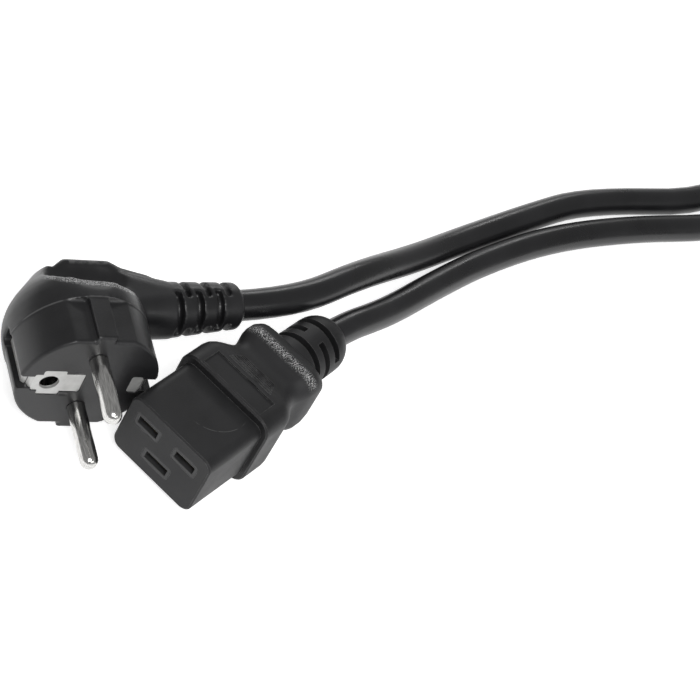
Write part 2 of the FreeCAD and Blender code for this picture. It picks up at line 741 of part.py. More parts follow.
def finger_scoop(side):
    """Capsule that hollows one side of the fin, with round ends."""
    outline = rounded(SCOOP_TO, SCOOP_R, SCOOP_R, 90, 2 * ROUND_STEP, 1)[::-1]
    outline += rounded(SCOOP_FROM, SCOOP_R, SCOOP_R, 90, 2 * ROUND_STEP, -1)
    capsule = turned(outline)
    capsule.rotate(V(0, 0, 0), Z_AXIS, 90)
    capsule.translate(V(-SCOOP_DEPTH_AT, 0, side * SCOOP_OFF))
    return capsule


def plug_form():
    """Outside of the plug's overmoulding."""
    form = fused([entry_body(), handle_dome(), grip_fin(), in_arm_frame(arm()),
                  in_arm_frame(plug_relief())])
    for side in (1, -1):
        form = form.cut(finger_scoop(side))
        channel_y = (CHANNEL_FLOOR, PLUG_R + 1) if side > 0 else (-PLUG_R - 1, -CHANNEL_FLOOR)
        form = form.cut(box(-CHANNEL_L, 1, channel_y[0], channel_y[1],
                            -CHANNEL_W / 2, CHANNEL_W / 2))
    return cut_all(form, face_pockets())


def build_plug():
    """Every piece of the plug, by node name, in its place on Z = 0."""
    nodes = {}
    strap = earth_strap()
    sleeve, sleeve_form = earth_sleeve()
    jacket_l = ARM_END - JACKET_START
    jacket_form = in_arm_frame(rod(0, jacket_l, CORD_D / 2))
    jacket = jacket_form.copy()
    bridge = bridge_form().cut(strap)
    hollows = [bridge_form(), strap, sleeve_form, jacket_form]
    axis = in_arm_frame(Part.makeLine(V(jacket_l - CORES_IN_JACKET, 0, 0), V(jacket_l + 1.5, 0, 0)))
    inner, outer = [vertex.Point for vertex in axis.Vertexes]
    roots = (
        ("line", V(-PIN_ROOT, 0, PIN_SPACING / 2), 90),
        ("neutral", V(-PIN_ROOT, 0, -PIN_SPACING / 2), 330),
        ("earth", V(-SOCKET_L, -SOCKET_OFF, 0), 210),
    )
    for name, root, lay in roots:
        across = CORE_LAY_R * math.cos(math.radians(lay))
        up = CORE_LAY_R * math.sin(math.radians(lay))
        in_lay = V(across * math.cos(math.radians(ARM_TILT)),
                   across * math.sin(math.radians(ARM_TILT)), up)
        start = root - V(BARREL_GAP, 0, 0)
        bare_end = root - V(BARREL_L + BARREL_GAP, 0, 0)
        route = [start, bare_end - V(CORE_TURN_AFTER, 0, 0), outer + in_lay, inner + in_lay]
        still_bare = box(bare_end.x, 0, -PLUG_R, PLUG_R, -PLUG_R, PLUG_R)
        core, strands, filled = core_and_strands(route, still_bare)
        nodes["plug_" + name + "_core"] = core
        nodes["plug_" + name + "_strands"] = strands
        jacket = jacket.cut(filled)
        hollows += [filled, strands]
    for name, z in (("line", PIN_SPACING / 2), ("neutral", -PIN_SPACING / 2)):
        nodes[name + "_pin"], outside = pin(z)
        bridge = bridge.cut(outside)
        hollows.append(outside)
    nodes["pin_bridge"] = bridge.cut(sleeve_form)
    nodes["earth_strap"] = strap
    nodes["earth_socket"] = sleeve
    nodes["plug_jacket"] = jacket
    nodes["plug_shell"] = one_solid(cut_all(plug_form(), hollows))
    for shape in nodes.values():
        shape.rotate(V(0, 0, 0), Z_AXIS, PLUG_YAW)
        shape.translate(V(PLUG_AT[0], PLUG_AT[1], HANDLE_R))
    return nodes


# ---- Cord, coil and tie ----------------------------------------------------------
def on_coil(angle, z):
    """Point on the outermost turn."""
    turn = math.radians(angle)
    return V(COIL_CENTRE[0] + COIL_OUTER_R * math.cos(turn),
             COIL_CENTRE[1] + COIL_OUTER_R * math.sin(turn), z)


def coil_lead(angle, z, onward):
    """Last two points of a lead that meets the outermost turn; onward is 1 or -1."""
    turn = math.radians(angle)
    tangent = V(-math.sin(turn), math.cos(turn), 0)
    end = on_coil(angle, z)
    return [end + tangent * (COIL_LEAD * onward), end]


def plug_exit():
    """Where the cord leaves the plug, and the first corner of its route."""
    turn = FreeCAD.Rotation(Z_AXIS, PLUG_YAW)
    exit_at = turn.multVec(V(-ARM_END_DEPTH, ARM_END, HANDLE_R)) + V(*PLUG_AT, 0)
    tilt = math.radians(ARM_TILT)
    heading = turn.multVec(V(-math.sin(tilt), math.cos(tilt), 0))
    return [exit_at, exit_at + heading * PLUG_FIRST_RUN]


def coil_ring(grown=0.0, sweep=360.0):
    """Outer shape of the wound turns, or a grown piece of it as long as the sweep."""
    edge = CORD_D / 2 - COIL_INSET + grown
    inner_r = COIL_OUTER_R - (COIL_COLUMNS - 1) * CORD_D - edge
    width = COIL_OUTER_R + edge - inner_r
    height = (COIL_LAYERS - 1) * CORD_D + 2 * edge
    middle = V(inner_r + width / 2, 0, COIL_BASE_Z + COIL_LAYERS * CORD_D / 2)
    cut = edge * COIL_CORNER
    outline = []
    for across, up in ((1, 1), (-1, 1), (-1, -1), (1, -1)):
        near_side = V(across * width / 2, 0, up * (height / 2 - cut))
        near_top = V(across * (width / 2 - cut), 0, up * height / 2)
        outline += [near_side, near_top] if across == up else [near_top, near_side]
    outline = Part.makePolygon([middle + point for point in outline + outline[:1]])
    ring = Part.Face(outline).revolve(V(0, 0, 0), Z_AXIS, sweep)
    ring.translate(V(COIL_CENTRE[0], COIL_CENTRE[1], 0))
    return ring


def build_cord():
    """The two visible leads, the coil between them and the tie round the coil."""
    nodes = {}
    low = COIL_BASE_Z + CORD_D / 2
    high = low + (COIL_LAYERS - 1) * CORD_D
    from_connector = [V(behind(CONNECTOR_L), 0, CONNECTOR_Z)]
    from_connector += [V(*point) for point in CONNECTOR_ROUTE]
    from_connector += coil_lead(COIL_IN_ANGLE, low, -1)
    from_plug = plug_exit() + [V(*point) for point in PLUG_ROUTE]
    from_plug += coil_lead(COIL_OUT_ANGLE, high, 1)
    ring = coil_ring()
    total = 0.0
    for name, route in (("cord_from_connector", from_connector), ("cord_from_plug", from_plug)):
        tube, length, radii = swept(route, CORD_D / 2)
        expected = math.pi * CORD_D ** 2 / 4 * length
        print(name, "length", round(length, 1), "volume share", round(tube.Volume / expected, 4))
        print(name, "bend radii", [round(radius, 1) for radius in radii])
        total += length
        nodes[name] = tube
        ring = ring.cut(tube)
    sweep = (COIL_OUT_ANGLE - COIL_IN_ANGLE) % 360 / 360
    turns = sweep + 2 * math.floor(COIL_COLUMNS - sweep / 2)
    middle_r = COIL_OUTER_R - (COIL_COLUMNS - 1) * CORD_D / 2
    wound = turns * 2 * math.pi * middle_r
    print("coil turns", round(turns, 2), "wound length", round(wound, 1))
    print("whole cord", round(total + wound, 1))
    nodes["cord_coil"] = one_solid(ring)
    tie_sweep = math.degrees(TIE_W / middle_r)
    tie = coil_ring(TIE_T, tie_sweep)
    centre = V(COIL_CENTRE[0], COIL_CENTRE[1], 0)
    tie.rotate(centre, Z_AXIS, TIE_ANGLE - tie_sweep / 2)
    nodes["coil_tie"] = one_solid(tie.cut(coil_ring()))
    return nodes


os.makedirs("parts", exist_ok=True)
pieces = {}
pieces.update(build_connector())
pieces.update(build_plug())
pieces.update(build_cord())
for node, piece in pieces.items():
    solids = piece.Solids
    print(node, len(solids), "solid", round(piece.Volume, 1), "mm3", piece.isValid())
    piece.exportStep("parts/" + node + ".step")
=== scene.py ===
import bmesh
import bpy
import math
from mathutils import Matrix, Vector


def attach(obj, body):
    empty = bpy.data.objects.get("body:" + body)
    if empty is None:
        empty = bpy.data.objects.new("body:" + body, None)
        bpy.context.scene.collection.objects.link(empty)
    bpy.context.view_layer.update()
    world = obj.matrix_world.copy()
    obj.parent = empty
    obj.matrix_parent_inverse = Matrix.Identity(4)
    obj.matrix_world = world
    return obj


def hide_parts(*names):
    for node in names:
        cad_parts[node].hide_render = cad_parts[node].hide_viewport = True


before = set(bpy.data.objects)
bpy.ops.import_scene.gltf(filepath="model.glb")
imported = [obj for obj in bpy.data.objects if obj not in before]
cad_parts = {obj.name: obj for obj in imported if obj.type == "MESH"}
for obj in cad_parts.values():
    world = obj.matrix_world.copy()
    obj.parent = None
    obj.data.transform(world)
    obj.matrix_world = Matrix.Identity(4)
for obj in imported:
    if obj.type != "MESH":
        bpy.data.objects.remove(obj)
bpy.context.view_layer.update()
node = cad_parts


# ---- Camera ---------------------------------------------------------------
# A long lens on a boom, in front of the connector and above it, rolled so that
# both couplers lie in the lower left of the frame.
def placed(name, data):
    """New object in the scene, at the origin."""
    thing = bpy.data.objects.new(name, data)
    bpy.context.scene.collection.objects.link(thing)
    return thing


def aimed(at, target):
    """Place and turn of something that stands at one point and faces another."""
    turned = (Vector(target) - Vector(at)).to_track_quat("-Z", "Y").to_matrix().to_4x4()
    return Matrix.Translation(Vector(at)) @ turned


CAMERA_AT = (0.41185, 0.1371, 0.4652)
CAMERA_AIM = (-0.03695, 0.0065, 0.0124)
CAMERA_ROLL = math.radians(31.8)
camera_data = bpy.data.cameras.new("camera")
camera_data.sensor_width = 36.0
camera_data.lens = 123.4
camera_data.clip_start = 0.01
camera = placed("camera", camera_data)
camera.matrix_world = aimed(CAMERA_AT, CAMERA_AIM) @ Matrix.Rotation(CAMERA_ROLL, 4, "Z")
bpy.context.scene.camera = camera
bpy.context.scene.view_settings.view_transform = "Standard"


# ---- Table and studio light --------------------------------------------------
# A white laminate table. A softbox stands above the camera's right shoulder, a
# long strip light on the left beyond the plug, and a weaker one on the right.
def lamp(name, at, target, width, height, power):
    """Rectangular lamp, in metres and watts."""
    data = bpy.data.lights.new(name, "AREA")
    data.shape = "RECTANGLE"
    data.size = width
    data.size_y = height
    data.energy = power
    placed(name, data).matrix_world = aimed(at, target)


lamp("key_softbox", at=(0.52, 0.38, 0.85), target=(0.0, 0.0, 0.0), width=0.55, height=0.55, power=7.0)
lamp("left_strip", at=(-0.85, -0.72, 0.52), target=(-0.05, 0.0, 0.0), width=0.8, height=0.1, power=2.5)
lamp("right_strip", at=(0.15, 0.95, 0.55), target=(-0.05, 0.0, 0.0), width=0.7, height=0.2, power=1.2)

ROOM_GREY = 0.3
world = bpy.data.worlds.new("studio")
bpy.context.scene.world = world
world.use_nodes = True
world.node_tree.nodes["Background"].inputs["Color"].default_value = (ROOM_GREY, ROOM_GREY, ROOM_GREY, 1)
world.node_tree.nodes["Background"].inputs["Strength"].default_value = 1.0

TABLE_REACH = 4.0
TABLE_COLOUR = (0.8, 0.8, 0.8, 1)
TABLE_GLOW = 0.7                # added to the paint where it is seen, so that it comes out white
laminate = bpy.data.materials.new("white_laminate")
laminate.use_nodes = True
nodes = laminate.node_tree.nodes
links = laminate.node_tree.links
nodes.clear()
painted = nodes.new("ShaderNodeBsdfDiffuse")
painted.inputs["Color"].default_value = TABLE_COLOUR
seen = nodes.new("ShaderNodeLightPath")
ray = seen.outputs["Is Camera Ray"]
for other_ray in ("Is Glossy Ray", "Is Transmission Ray"):
    either = nodes.new("ShaderNodeMath")
    either.operation = "MAXIMUM"
    links.new(ray, either.inputs[0])
    links.new(seen.outputs[other_ray], either.inputs[1])
    ray = either.outputs[0]
share = nodes.new("ShaderNodeMath")
share.operation = "MULTIPLY"
share.inputs[1].default_value = TABLE_GLOW
links.new(ray, share.inputs[0])
lit = nodes.new("ShaderNodeEmission")
lit.inputs["Color"].default_value = (1, 1, 1, 1)
links.new(share.outputs[0], lit.inputs["Strength"])
both = nodes.new("ShaderNodeAddShader")
links.new(painted.outputs[0], both.inputs[0])
links.new(lit.outputs[0], both.inputs[1])
links.new(both.outputs[0], nodes.new("ShaderNodeOutputMaterial").inputs["Surface"])
table_mesh = bpy.data.meshes.new("table")
table_mesh.from_pydata(
    [(-TABLE_REACH, -TABLE_REACH, 0), (TABLE_REACH, -TABLE_REACH, 0),
     (TABLE_REACH, TABLE_REACH, 0), (-TABLE_REACH, TABLE_REACH, 0)],
    [], [(0, 1, 2, 3)])
table_mesh.materials.append(laminate)
placed("table", table_mesh)


# ---- Female contacts -----------------------------------------------------------
# Three folded brass strips, each with two leaves that grip a blade and a barrel
# crimped on its core. They are pressed into the carrier's chambers.
NOISE_LOW = 0.3                 # most of a noise lies between these two
NOISE_HIGH = 0.7
PATCH_DETAIL = 6.0
GRAIN_DETAIL = 3.0
GRAIN_STRENGTH = 0.6


def mottle(tree, vector, size, detail):
    """Noise with features of about this size, in metres."""
    noise = tree.nodes.new("ShaderNodeTexNoise")
    noise.inputs["Scale"].default_value = 1.0 / size
    noise.inputs["Detail"].default_value = detail
    tree.links.new(vector, noise.inputs["Vector"])
    return noise.outputs["Fac"]


def between(tree, noise, low, high):
    """Noise spread over the numbers from low to high."""
    mapped = tree.nodes.new("ShaderNodeMapRange")
    mapped.inputs["From Min"].default_value = NOISE_LOW
    mapped.inputs["From Max"].default_value = NOISE_HIGH
    mapped.inputs["To Min"].default_value = low
    mapped.inputs["To Max"].default_value = high
    tree.links.new(noise, mapped.inputs["Value"])
    return mapped.outputs[0]


def finish(name, colour, rough, patch, grain, depth, shift=0.25, gloss=0.07, metal=0.0,
           stretch=(1.0, 1.0, 1.0), turn=0.0):
    """Material with uneven colour and gloss in patches, over a fine grain.

    patch and grain are sizes in metres and depth is the grain's; shift and gloss
    say how far the colour and the roughness vary.
    """
    made = bpy.data.materials.new(name)
    made.use_nodes = True
    tree = made.node_tree
    shader = tree.nodes["Principled BSDF"]
    shader.inputs["Metallic"].default_value = metal
    place = tree.nodes.new("ShaderNodeTexCoord")
    mapped = tree.nodes.new("ShaderNodeMapping")
    mapped.vector_type = "TEXTURE"
    mapped.inputs["Rotation"].default_value = (0, 0, turn)
    mapped.inputs["Scale"].default_value = stretch
    tree.links.new(place.outputs["Object"], mapped.inputs["Vector"])
    patches = mottle(tree, mapped.outputs[0], patch, PATCH_DETAIL)
    base = tree.nodes.new("ShaderNodeVectorMath")
    base.operation = "SCALE"
    base.inputs[0].default_value = colour
    tree.links.new(between(tree, patches, 1.0 - shift, 1.0 + shift), base.inputs["Scale"])
    tree.links.new(base.outputs[0], shader.inputs["Base Color"])
    tree.links.new(between(tree, patches, rough - gloss, rough + gloss), shader.inputs["Roughness"])
    bump = tree.nodes.new("ShaderNodeBump")
    bump.inputs["Strength"].default_value = GRAIN_STRENGTH
    bump.inputs["Distance"].default_value = depth
    grit = mottle(tree, mapped.outputs[0], grain, GRAIN_DETAIL)
    tree.links.new(grit, bump.inputs["Height"])
    tree.links.new(bump.outputs[0], shader.inputs["Normal"])
    return made


def dress(names, made):
    """Give a finish to CAD nodes that stay as they are."""
    for name in names:
        node[name].data.materials.clear()
        node[name].data.materials.append(made)


POLES = ("line", "neutral", "earth")
rolled_brass = finish("rolled_brass", (0.62, 0.47, 0.22), rough=0.3, patch=0.004, grain=0.0002,
                      depth=0.000004, metal=1.0, stretch=(1.0, 0.06, 0.06))
dress([pole + "_contact" for pole in POLES], rolled_brass)

# ---- Three-core wiring ------------------------------------------------------------
# Stranded copper in soft PVC insulation, laid up in the jacket. The overmoulding
# seals it in. The earth core is green with a yellow stripe.
CORE_SURFACE = {"rough": 0.42, "patch": 0.003, "grain": 0.0004, "depth": 0.00002}
ENDS = ("connector", "plug")
bare_copper = finish("bare_copper", (0.62, 0.27, 0.14), rough=0.28, patch=0.001, grain=0.0002,
                     depth=0.00001, metal=1.0)
dress([end + "_" + pole + "_strands" for end in ENDS for pole in POLES], bare_copper)
dress([end + "_line_core" for end in ENDS],
      finish("brown_core_pvc", (0.13, 0.045, 0.016), **CORE_SURFACE))
dress([end + "_neutral_core" for end in ENDS],
      finish("blue_core_pvc", (0.012, 0.07, 0.32), **CORE_SURFACE))

STRIPE_SCALE = 120.0            # stripes along the core
STRIPE_EDGE = (0.60, 0.65)      # where in a wave the yellow starts and is full
STRIPE_YELLOW = (0.62, 0.5, 0.02, 1)
striped_pvc = finish("striped_core_pvc", (0.05, 0.22, 0.02), **CORE_SURFACE)
tree = striped_pvc.node_tree
shader = tree.nodes["Principled BSDF"]
place = tree.nodes.new("ShaderNodeTexCoord")
stripe = tree.nodes.new("ShaderNodeTexWave")
stripe.bands_direction = "Z"
stripe.inputs["Scale"].default_value = STRIPE_SCALE
tree.links.new(place.outputs["Object"], stripe.inputs["Vector"])
edge = tree.nodes.new("ShaderNodeMapRange")
edge.inputs["From Min"].default_value, edge.inputs["From Max"].default_value = STRIPE_EDGE
tree.links.new(stripe.outputs["Fac"], edge.inputs["Value"])
two_colours = tree.nodes.new("ShaderNodeMix")
two_colours.data_type = "RGBA"
tree.links.new(edge.outputs[0], two_colours.inputs["Factor"])
tree.links.new(shader.inputs["Base Color"].links[0].from_socket, two_colours.inputs["A"])
two_colours.inputs["B"].default_value = STRIPE_YELLOW
tree.links.new(two_colours.outputs["Result"], shader.inputs["Base Color"])
dress([end + "_earth_core" for end in ENDS], striped_pvc)

inner_jacket_pvc = finish("inner_jacket_pvc", (0.012, 0.012, 0.013), rough=0.4, patch=0.006,
                          grain=0.0004, depth=0.00002)
dress([end + "_jacket" for end in ENDS], inner_jacket_pvc)

# ---- Contact carrier ---------------------------------------------------------------
# Glass-filled insert that holds the three contacts. Its towers come out flush in
# the mating face, each with a slot, and their broken edges leave a fine outline.
WELD_WITHIN = 2e-6
BROKEN_EDGE = 0.0002
BROKEN_FROM = math.radians(60.0)        # edges that turn more than this are broken
FLAT_WITHIN = math.radians(2.0)         # facets that turn less than this are one face


def smooth_mesh(name, source, sharp_angle=30.0, edit=None):
    """Welded copy of a mesh, shaded smooth across edges under the angle."""
    welded = bmesh.new()
    welded.from_mesh(source)
    bmesh.ops.remove_doubles(welded, verts=welded.verts, dist=WELD_WITHIN)
    if edit:
        edit(welded)
    welded.verts.index_update()
    mesh = bpy.data.meshes.new(name)
    mesh.from_pydata([vert.co[:] for vert in welded.verts], [],
                     [[vert.index for vert in face.verts] for face in welded.faces])
    welded.free()
    mesh.shade_smooth()
    mesh.set_sharp_from_angle(angle=math.radians(sharp_angle))
    return mesh


def stand_in(name, mesh, made, slot, *replaced):
    """Piece that rides on the body and stands for these CAD nodes."""
    mesh.materials.clear()
    mesh.materials.append(made)
    piece = placed(name, mesh)
    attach(piece, "root")
    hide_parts(*replaced)
    return piece


def break_edges(form):
    """Take a narrow flat off every sharp edge."""
    bmesh.ops.dissolve_limit(form, angle_limit=FLAT_WITHIN, verts=form.verts, edges=form.edges)
    sharp = [edge for edge in form.edges
             if edge.is_manifold and edge.calc_face_angle() > BROKEN_FROM]
    bmesh.ops.bevel(form, geom=sharp, offset=BROKEN_EDGE, segments=1, affect="EDGES",
                    clamp_overlap=True)
    bmesh.ops.triangulate(form, faces=form.faces)


carrier_nylon = finish("glass_filled_nylon", (0.030, 0.030, 0.031), rough=0.5, patch=0.004,
                       grain=0.0003, depth=0.00003)
carrier_mesh = smooth_mesh("contact_insert", node["contact_carrier"].data, edit=break_edges)
stand_in("contact_insert", carrier_mesh, carrier_nylon, "carrier_plastic", "contact_carrier")


# ---- Connector overmoulding -----------------------------------------------------
# Soft black PVC moulded over the carrier and the cord in one shot. The grip is
# spark-textured, its ridge's grains rubbed glossy and painted light grey as highlight
# glints, and scuffed at its edges, which are also lightened as painted edge highlights.
SPECKLE_DETAIL = 2.0
EDGE_SAMPLES = 6
EDGE_LEANS = (0.01, 0.12)       # lean of the rounded surface where an edge shows, and is full


def masked(made, mask, colour, rough):
    """Put another colour and gloss over a finish where the mask is 1, for wear, a scratch and painted
    highlights.
    """
    tree = made.node_tree
    shader = tree.nodes["Principled BSDF"]
    for socket, kind, over in (("Base Color", "RGBA", (*colour, 1)), ("Roughness", "FLOAT", rough)):
        mixed = tree.nodes.new("ShaderNodeMix")
        mixed.data_type = kind
        tree.links.new(mask, mixed.inputs["Factor"])
        tree.links.new(shader.inputs[socket].links[0].from_socket, mixed.inputs["A"])
        mixed.inputs["B"].default_value = over
        tree.links.new(mixed.outputs["Result"], shader.inputs[socket])


def joined(tree, operation, first, second=0.0):
    """Output of a Math node; each side is a socket or a number."""
    math_node = tree.nodes.new("ShaderNodeMath")
    math_node.operation = operation
    for socket, side in zip(math_node.inputs, (first, second)):
        if isinstance(side, (int, float)):
            socket.default_value = side
        else:
            tree.links.new(side, socket)
    return math_node.outputs[0]


def product(tree, first, *others):
    """These sockets and numbers multiplied."""
    for other in others:
        first = joined(tree, "MULTIPLY", first, other)
    return first


def off(tree, value, middle):
    """How far a value is from this number, on either side."""
    return joined(tree, "ABSOLUTE", joined(tree, "SUBTRACT", value, middle))


def length(tree, first, *others):
    """Length of the line with these sides."""
    total = product(tree, first, first)
    for other in others:
        total = joined(tree, "ADD", total, product(tree, other, other))
    return joined(tree, "SQRT", total)


def ramp(tree, value, low, high):
    """Value eased from 0 at low to 1 at high; high may be the smaller."""
    mapped = tree.nodes.new("ShaderNodeMapRange")
    mapped.interpolation_type = "SMOOTHSTEP"
    mapped.inputs["From Min"].default_value = low
    mapped.inputs["From Max"].default_value = high
    tree.links.new(value, mapped.inputs["Value"])
    return mapped.outputs[0]


def grains(tree, size, levels):
    """Speckle of about this size, in metres: 0 under the lower noise level, 1 over the upper."""
    place = tree.nodes.new("ShaderNodeTexCoord")
    return ramp(tree, mottle(tree, place.outputs["Object"], size, SPECKLE_DETAIL), *levels)


def edges_of(tree, radius):
    """1 along the piece's edges, within about this radius of each."""
    rounding = tree.nodes.new("ShaderNodeBevel")
    rounding.samples = EDGE_SAMPLES
    rounding.inputs["Radius"].default_value = radius
    surface = tree.nodes.new("ShaderNodeNewGeometry")
    alike = tree.nodes.new("ShaderNodeVectorMath")
    alike.operation = "DOT_PRODUCT"
    tree.links.new(rounding.outputs[0], alike.inputs[0])
    tree.links.new(surface.outputs["Normal"], alike.inputs[1])
    return ramp(tree, joined(tree, "SUBTRACT", 1.0, alike.outputs["Value"]), *EDGE_LEANS)


GLINT_GRAIN = 0.0003              # size of the rubbed grains, painted light as highlight glints
RIDGE_GLINT_LEVELS = (0.48, 0.62)
SCUFF_AND_HIGHLIGHT_PATCH = 0.004             # size of the patches in which an edge is scuffed and lightened as a painted edge highlight
SCUFF_AND_HIGHLIGHT_LEVELS = (0.3, 0.6)
SCUFF_AND_HIGHLIGHT_SHARE = 0.8
grip_pvc = finish("grip_pvc", (0.016, 0.016, 0.017), rough=0.54, patch=0.010, grain=0.00035,
                  depth=0.00005)
grip_pvc.node_tree.nodes["Principled BSDF"].inputs["Specular IOR Level"].default_value = 0.35
tree = grip_pvc.node_tree
place = tree.nodes.new("ShaderNodeTexCoord")
apart = tree.nodes.new("ShaderNodeSeparateXYZ")
tree.links.new(place.outputs["Object"], apart.inputs[0])
x, y, z = apart.outputs

RIDGE_X = -0.00885              # middle of the ridge across the grip
RIDGE_HALF_W = 0.0022
RIDGE_FOOT = 0.0199             # the rubbed grains and their painted glints start at this height
RIDGE_TOP = 0.0226
# Painted highlight: grains along the ridge are made glossier and painted light grey as the glints of
# its highlight.
ridge = product(tree, ramp(tree, off(tree, x, RIDGE_X), RIDGE_HALF_W, 0.0),
                ramp(tree, z, RIDGE_FOOT, RIDGE_TOP))
masked(grip_pvc, product(tree, ridge, grains(tree, GLINT_GRAIN, RIDGE_GLINT_LEVELS)),
       colour=(0.55, 0.55, 0.55), rough=0.3)

GRIP_EDGE = 0.00025
# Edges lightened in patches: partly scuffing, partly painted edge highlights.
scuff_and_edge_highlight = product(tree, edges_of(tree, GRIP_EDGE), grains(tree, SCUFF_AND_HIGHLIGHT_PATCH, SCUFF_AND_HIGHLIGHT_LEVELS),
                  SCUFF_AND_HIGHLIGHT_SHARE)
masked(grip_pvc, scuff_and_edge_highlight, colour=(0.13, 0.13, 0.13), rough=0.4)

SCRATCH_AT = (0.0193, -0.0003)  # a scratch on the block's top is an arc about this point
SCRATCH_R = 0.0095
SCRATCH_HALF_W = 0.00016
SCRATCH_CORE = 0.00003          # half width in which it is full
SCRATCH_X = (0.0165, 0.0195)    # it fades in between these, along the block and across it
SCRATCH_Y = (0.0, 0.003)
SCRATCH_AND_HIGHLIGHT_PATCH = 0.002
SCRATCH_AND_HIGHLIGHT_LEVELS = (0.35, 0.6)
BLOCK_TOP = 0.0224
UNDER_TOP = (0.0003, 0.0001)    # nothing lower than this under the top is scratched
swing = length(tree, joined(tree, "SUBTRACT", x, SCRATCH_AT[0]),
               joined(tree, "SUBTRACT", y, SCRATCH_AT[1]))
scratch = product(tree, ramp(tree, off(tree, swing, SCRATCH_R), SCRATCH_HALF_W, SCRATCH_CORE),
                  ramp(tree, y, *SCRATCH_Y), ramp(tree, x, *SCRATCH_X),
                  ramp(tree, z, BLOCK_TOP - UNDER_TOP[0], BLOCK_TOP - UNDER_TOP[1]),
                  grains(tree, SCRATCH_AND_HIGHLIGHT_PATCH, SCRATCH_AND_HIGHLIGHT_LEVELS))
masked(grip_pvc, scratch, colour=(0.07, 0.07, 0.07), rough=0.35)
stand_in("connector_overmould", smooth_mesh("connector_overmould", node["connector_shell"].data),
         grip_pvc, "overmould_pvc", "connector_shell")

# ---- Pins and their bridge ---------------------------------------------------------
# Two turned brass pins, nickel plated, held with the earth socket in a moulded
# bridge before the plug's body is moulded round it.
PLUG_YAW = math.radians(55.9)   # turn of the plug's face from the connector's
PLUG_AT = Vector((0.04115, -0.0242, 0.0186))    # middle of the plug's face
nickel = finish("bright_nickel", (0.60, 0.595, 0.58), rough=0.17, patch=0.003, grain=0.00045,
                depth=0.00001, shift=0.3, gloss=0.08, metal=1.0, stretch=(1.0, 0.07, 0.07),
                turn=PLUG_YAW)
pins = []
for pole in ("line", "neutral"):
    name = pole + "_contact_pin"
    pin_mesh = smooth_mesh(name, node[pole + "_pin"].data, sharp_angle=40.0)
    pins.append(stand_in(name, pin_mesh, nickel, "nickel_plate", pole + "_pin"))
bridge_nylon = finish("bridge_nylon", (0.028, 0.028, 0.03), rough=0.5, patch=0.004, grain=0.0003,
                      depth=0.00003)
dress(("pin_bridge",), bridge_nylon)

# ---- Earth strap and socket -------------------------------------------------------
# One folded strip of plated steel runs from side contact to side contact through
# the plug. A drawn sleeve behind its hole takes a wall socket's earth pin.
strap_plate = finish("satin_plate", (0.55, 0.55, 0.54), rough=0.45, patch=0.0025, grain=0.0002,
                     depth=0.000006, shift=0.12, gloss=0.08, metal=0.55, stretch=(0.2, 1.0, 1.0),
                     turn=PLUG_YAW)
earth_strip = stand_in("earth_strip", smooth_mesh("earth_strip", node["earth_strap"].data),
                       strap_plate, "plated_steel", "earth_strap")
earth_sleeve = stand_in("earth_sleeve", smooth_mesh("earth_sleeve", node["earth_socket"].data),
                        nickel, "plated_steel", "earth_socket")

# ---- Plug overmoulding ----------------------------------------------------------
# The same soft PVC moulded round the pins' bridge and the cord. The handle's fin
# and scoops are softly rounded; the part that enters a socket is crisp.
VOXEL = 0.0004
ENTRY_END = -0.0134             # behind this the body is rounded by smoothing
RELIEF_FROM = 0.0245            # beyond this lie the relief's slots, which stay crisper
HANDLE_ROUNDS = 14              # rounds of smoothing
RELIEF_ROUNDS = 2
PLUG_SHARP_FROM = 40.0
SCOOP_R = 0.010                 # each finger scoop is a capsule of this radius
SCOOP_BACK = 0.029              # face to the scoop's middle
SCOOP_MIDDLE = 0.00375
SCOOP_HALF_L = 0.00425
LIP_R = 0.0126                  # the scoop's front lip slopes in from this radius
LIP_TOP = 0.0183
LIP_SLOPE = 0.4
LIP_FADES = (0.002, 0.006)      # in front of the scoop's middle, where the slope fades in


def whole_body(form):
    """Vertices joined to the rearmost one; crumbs left inside by remeshing are not."""
    waiting = [min(form.verts, key=lambda vert: vert.co.x)]
    found = set(waiting)
    while waiting:
        for edge in waiting.pop().link_edges:
            for vert in edge.verts:
                if vert not in found:
                    found.add(vert)
                    waiting.append(vert)
    return found


into_plug = Matrix.Rotation(-PLUG_YAW, 4, "Z") @ Matrix.Translation(-PLUG_AT)
rough_mesh = smooth_mesh("plug_rough", node["plug_shell"].data)
rough_mesh.transform(into_plug)
rough_plug = placed("plug_rough", rough_mesh)
remesh = rough_plug.modifiers.new("even", "REMESH")
remesh.mode = "VOXEL"
remesh.voxel_size = VOXEL
even = bpy.data.meshes.new_from_object(
    rough_plug.evaluated_get(bpy.context.evaluated_depsgraph_get()))
bpy.data.objects.remove(rough_plug)
form = bmesh.new()
form.from_mesh(even)
body = whole_body(form)
crumbs = [vert for vert in form.verts if vert not in body]
bmesh.ops.delete(form, geom=crumbs, context="VERTS")

# The scoops' front lips are sloped, then the handle is rounded.
for vert in form.verts:
    back = vert.co.x + SCOOP_BACK
    beyond = max(abs(vert.co.y - SCOOP_MIDDLE) - SCOOP_HALF_L, 0.0)
    inside = LIP_R - math.hypot(back, beyond)
    over = abs(vert.co.z) - (LIP_TOP - LIP_SLOPE * inside)
    if inside > 0 and over > 0:
        eased = min(max((back - LIP_FADES[0]) / (LIP_FADES[1] - LIP_FADES[0]), 0.0), 1.0)
        vert.co.z -= math.copysign(over * eased, vert.co.z)
for done in range(HANDLE_ROUNDS):
    handle = [vert for vert in form.verts if vert.co.x < ENTRY_END
              and not (vert.co.y > RELIEF_FROM and done >= RELIEF_ROUNDS)]
    bmesh.ops.smooth_vert(form, verts=handle, factor=0.5, use_axis_x=True, use_axis_y=True,
                          use_axis_z=True)
form.to_mesh(even)
form.free()
even.transform(into_plug.inverted())
even.shade_smooth()
even.set_sharp_from_angle(angle=math.radians(PLUG_SHARP_FROM))

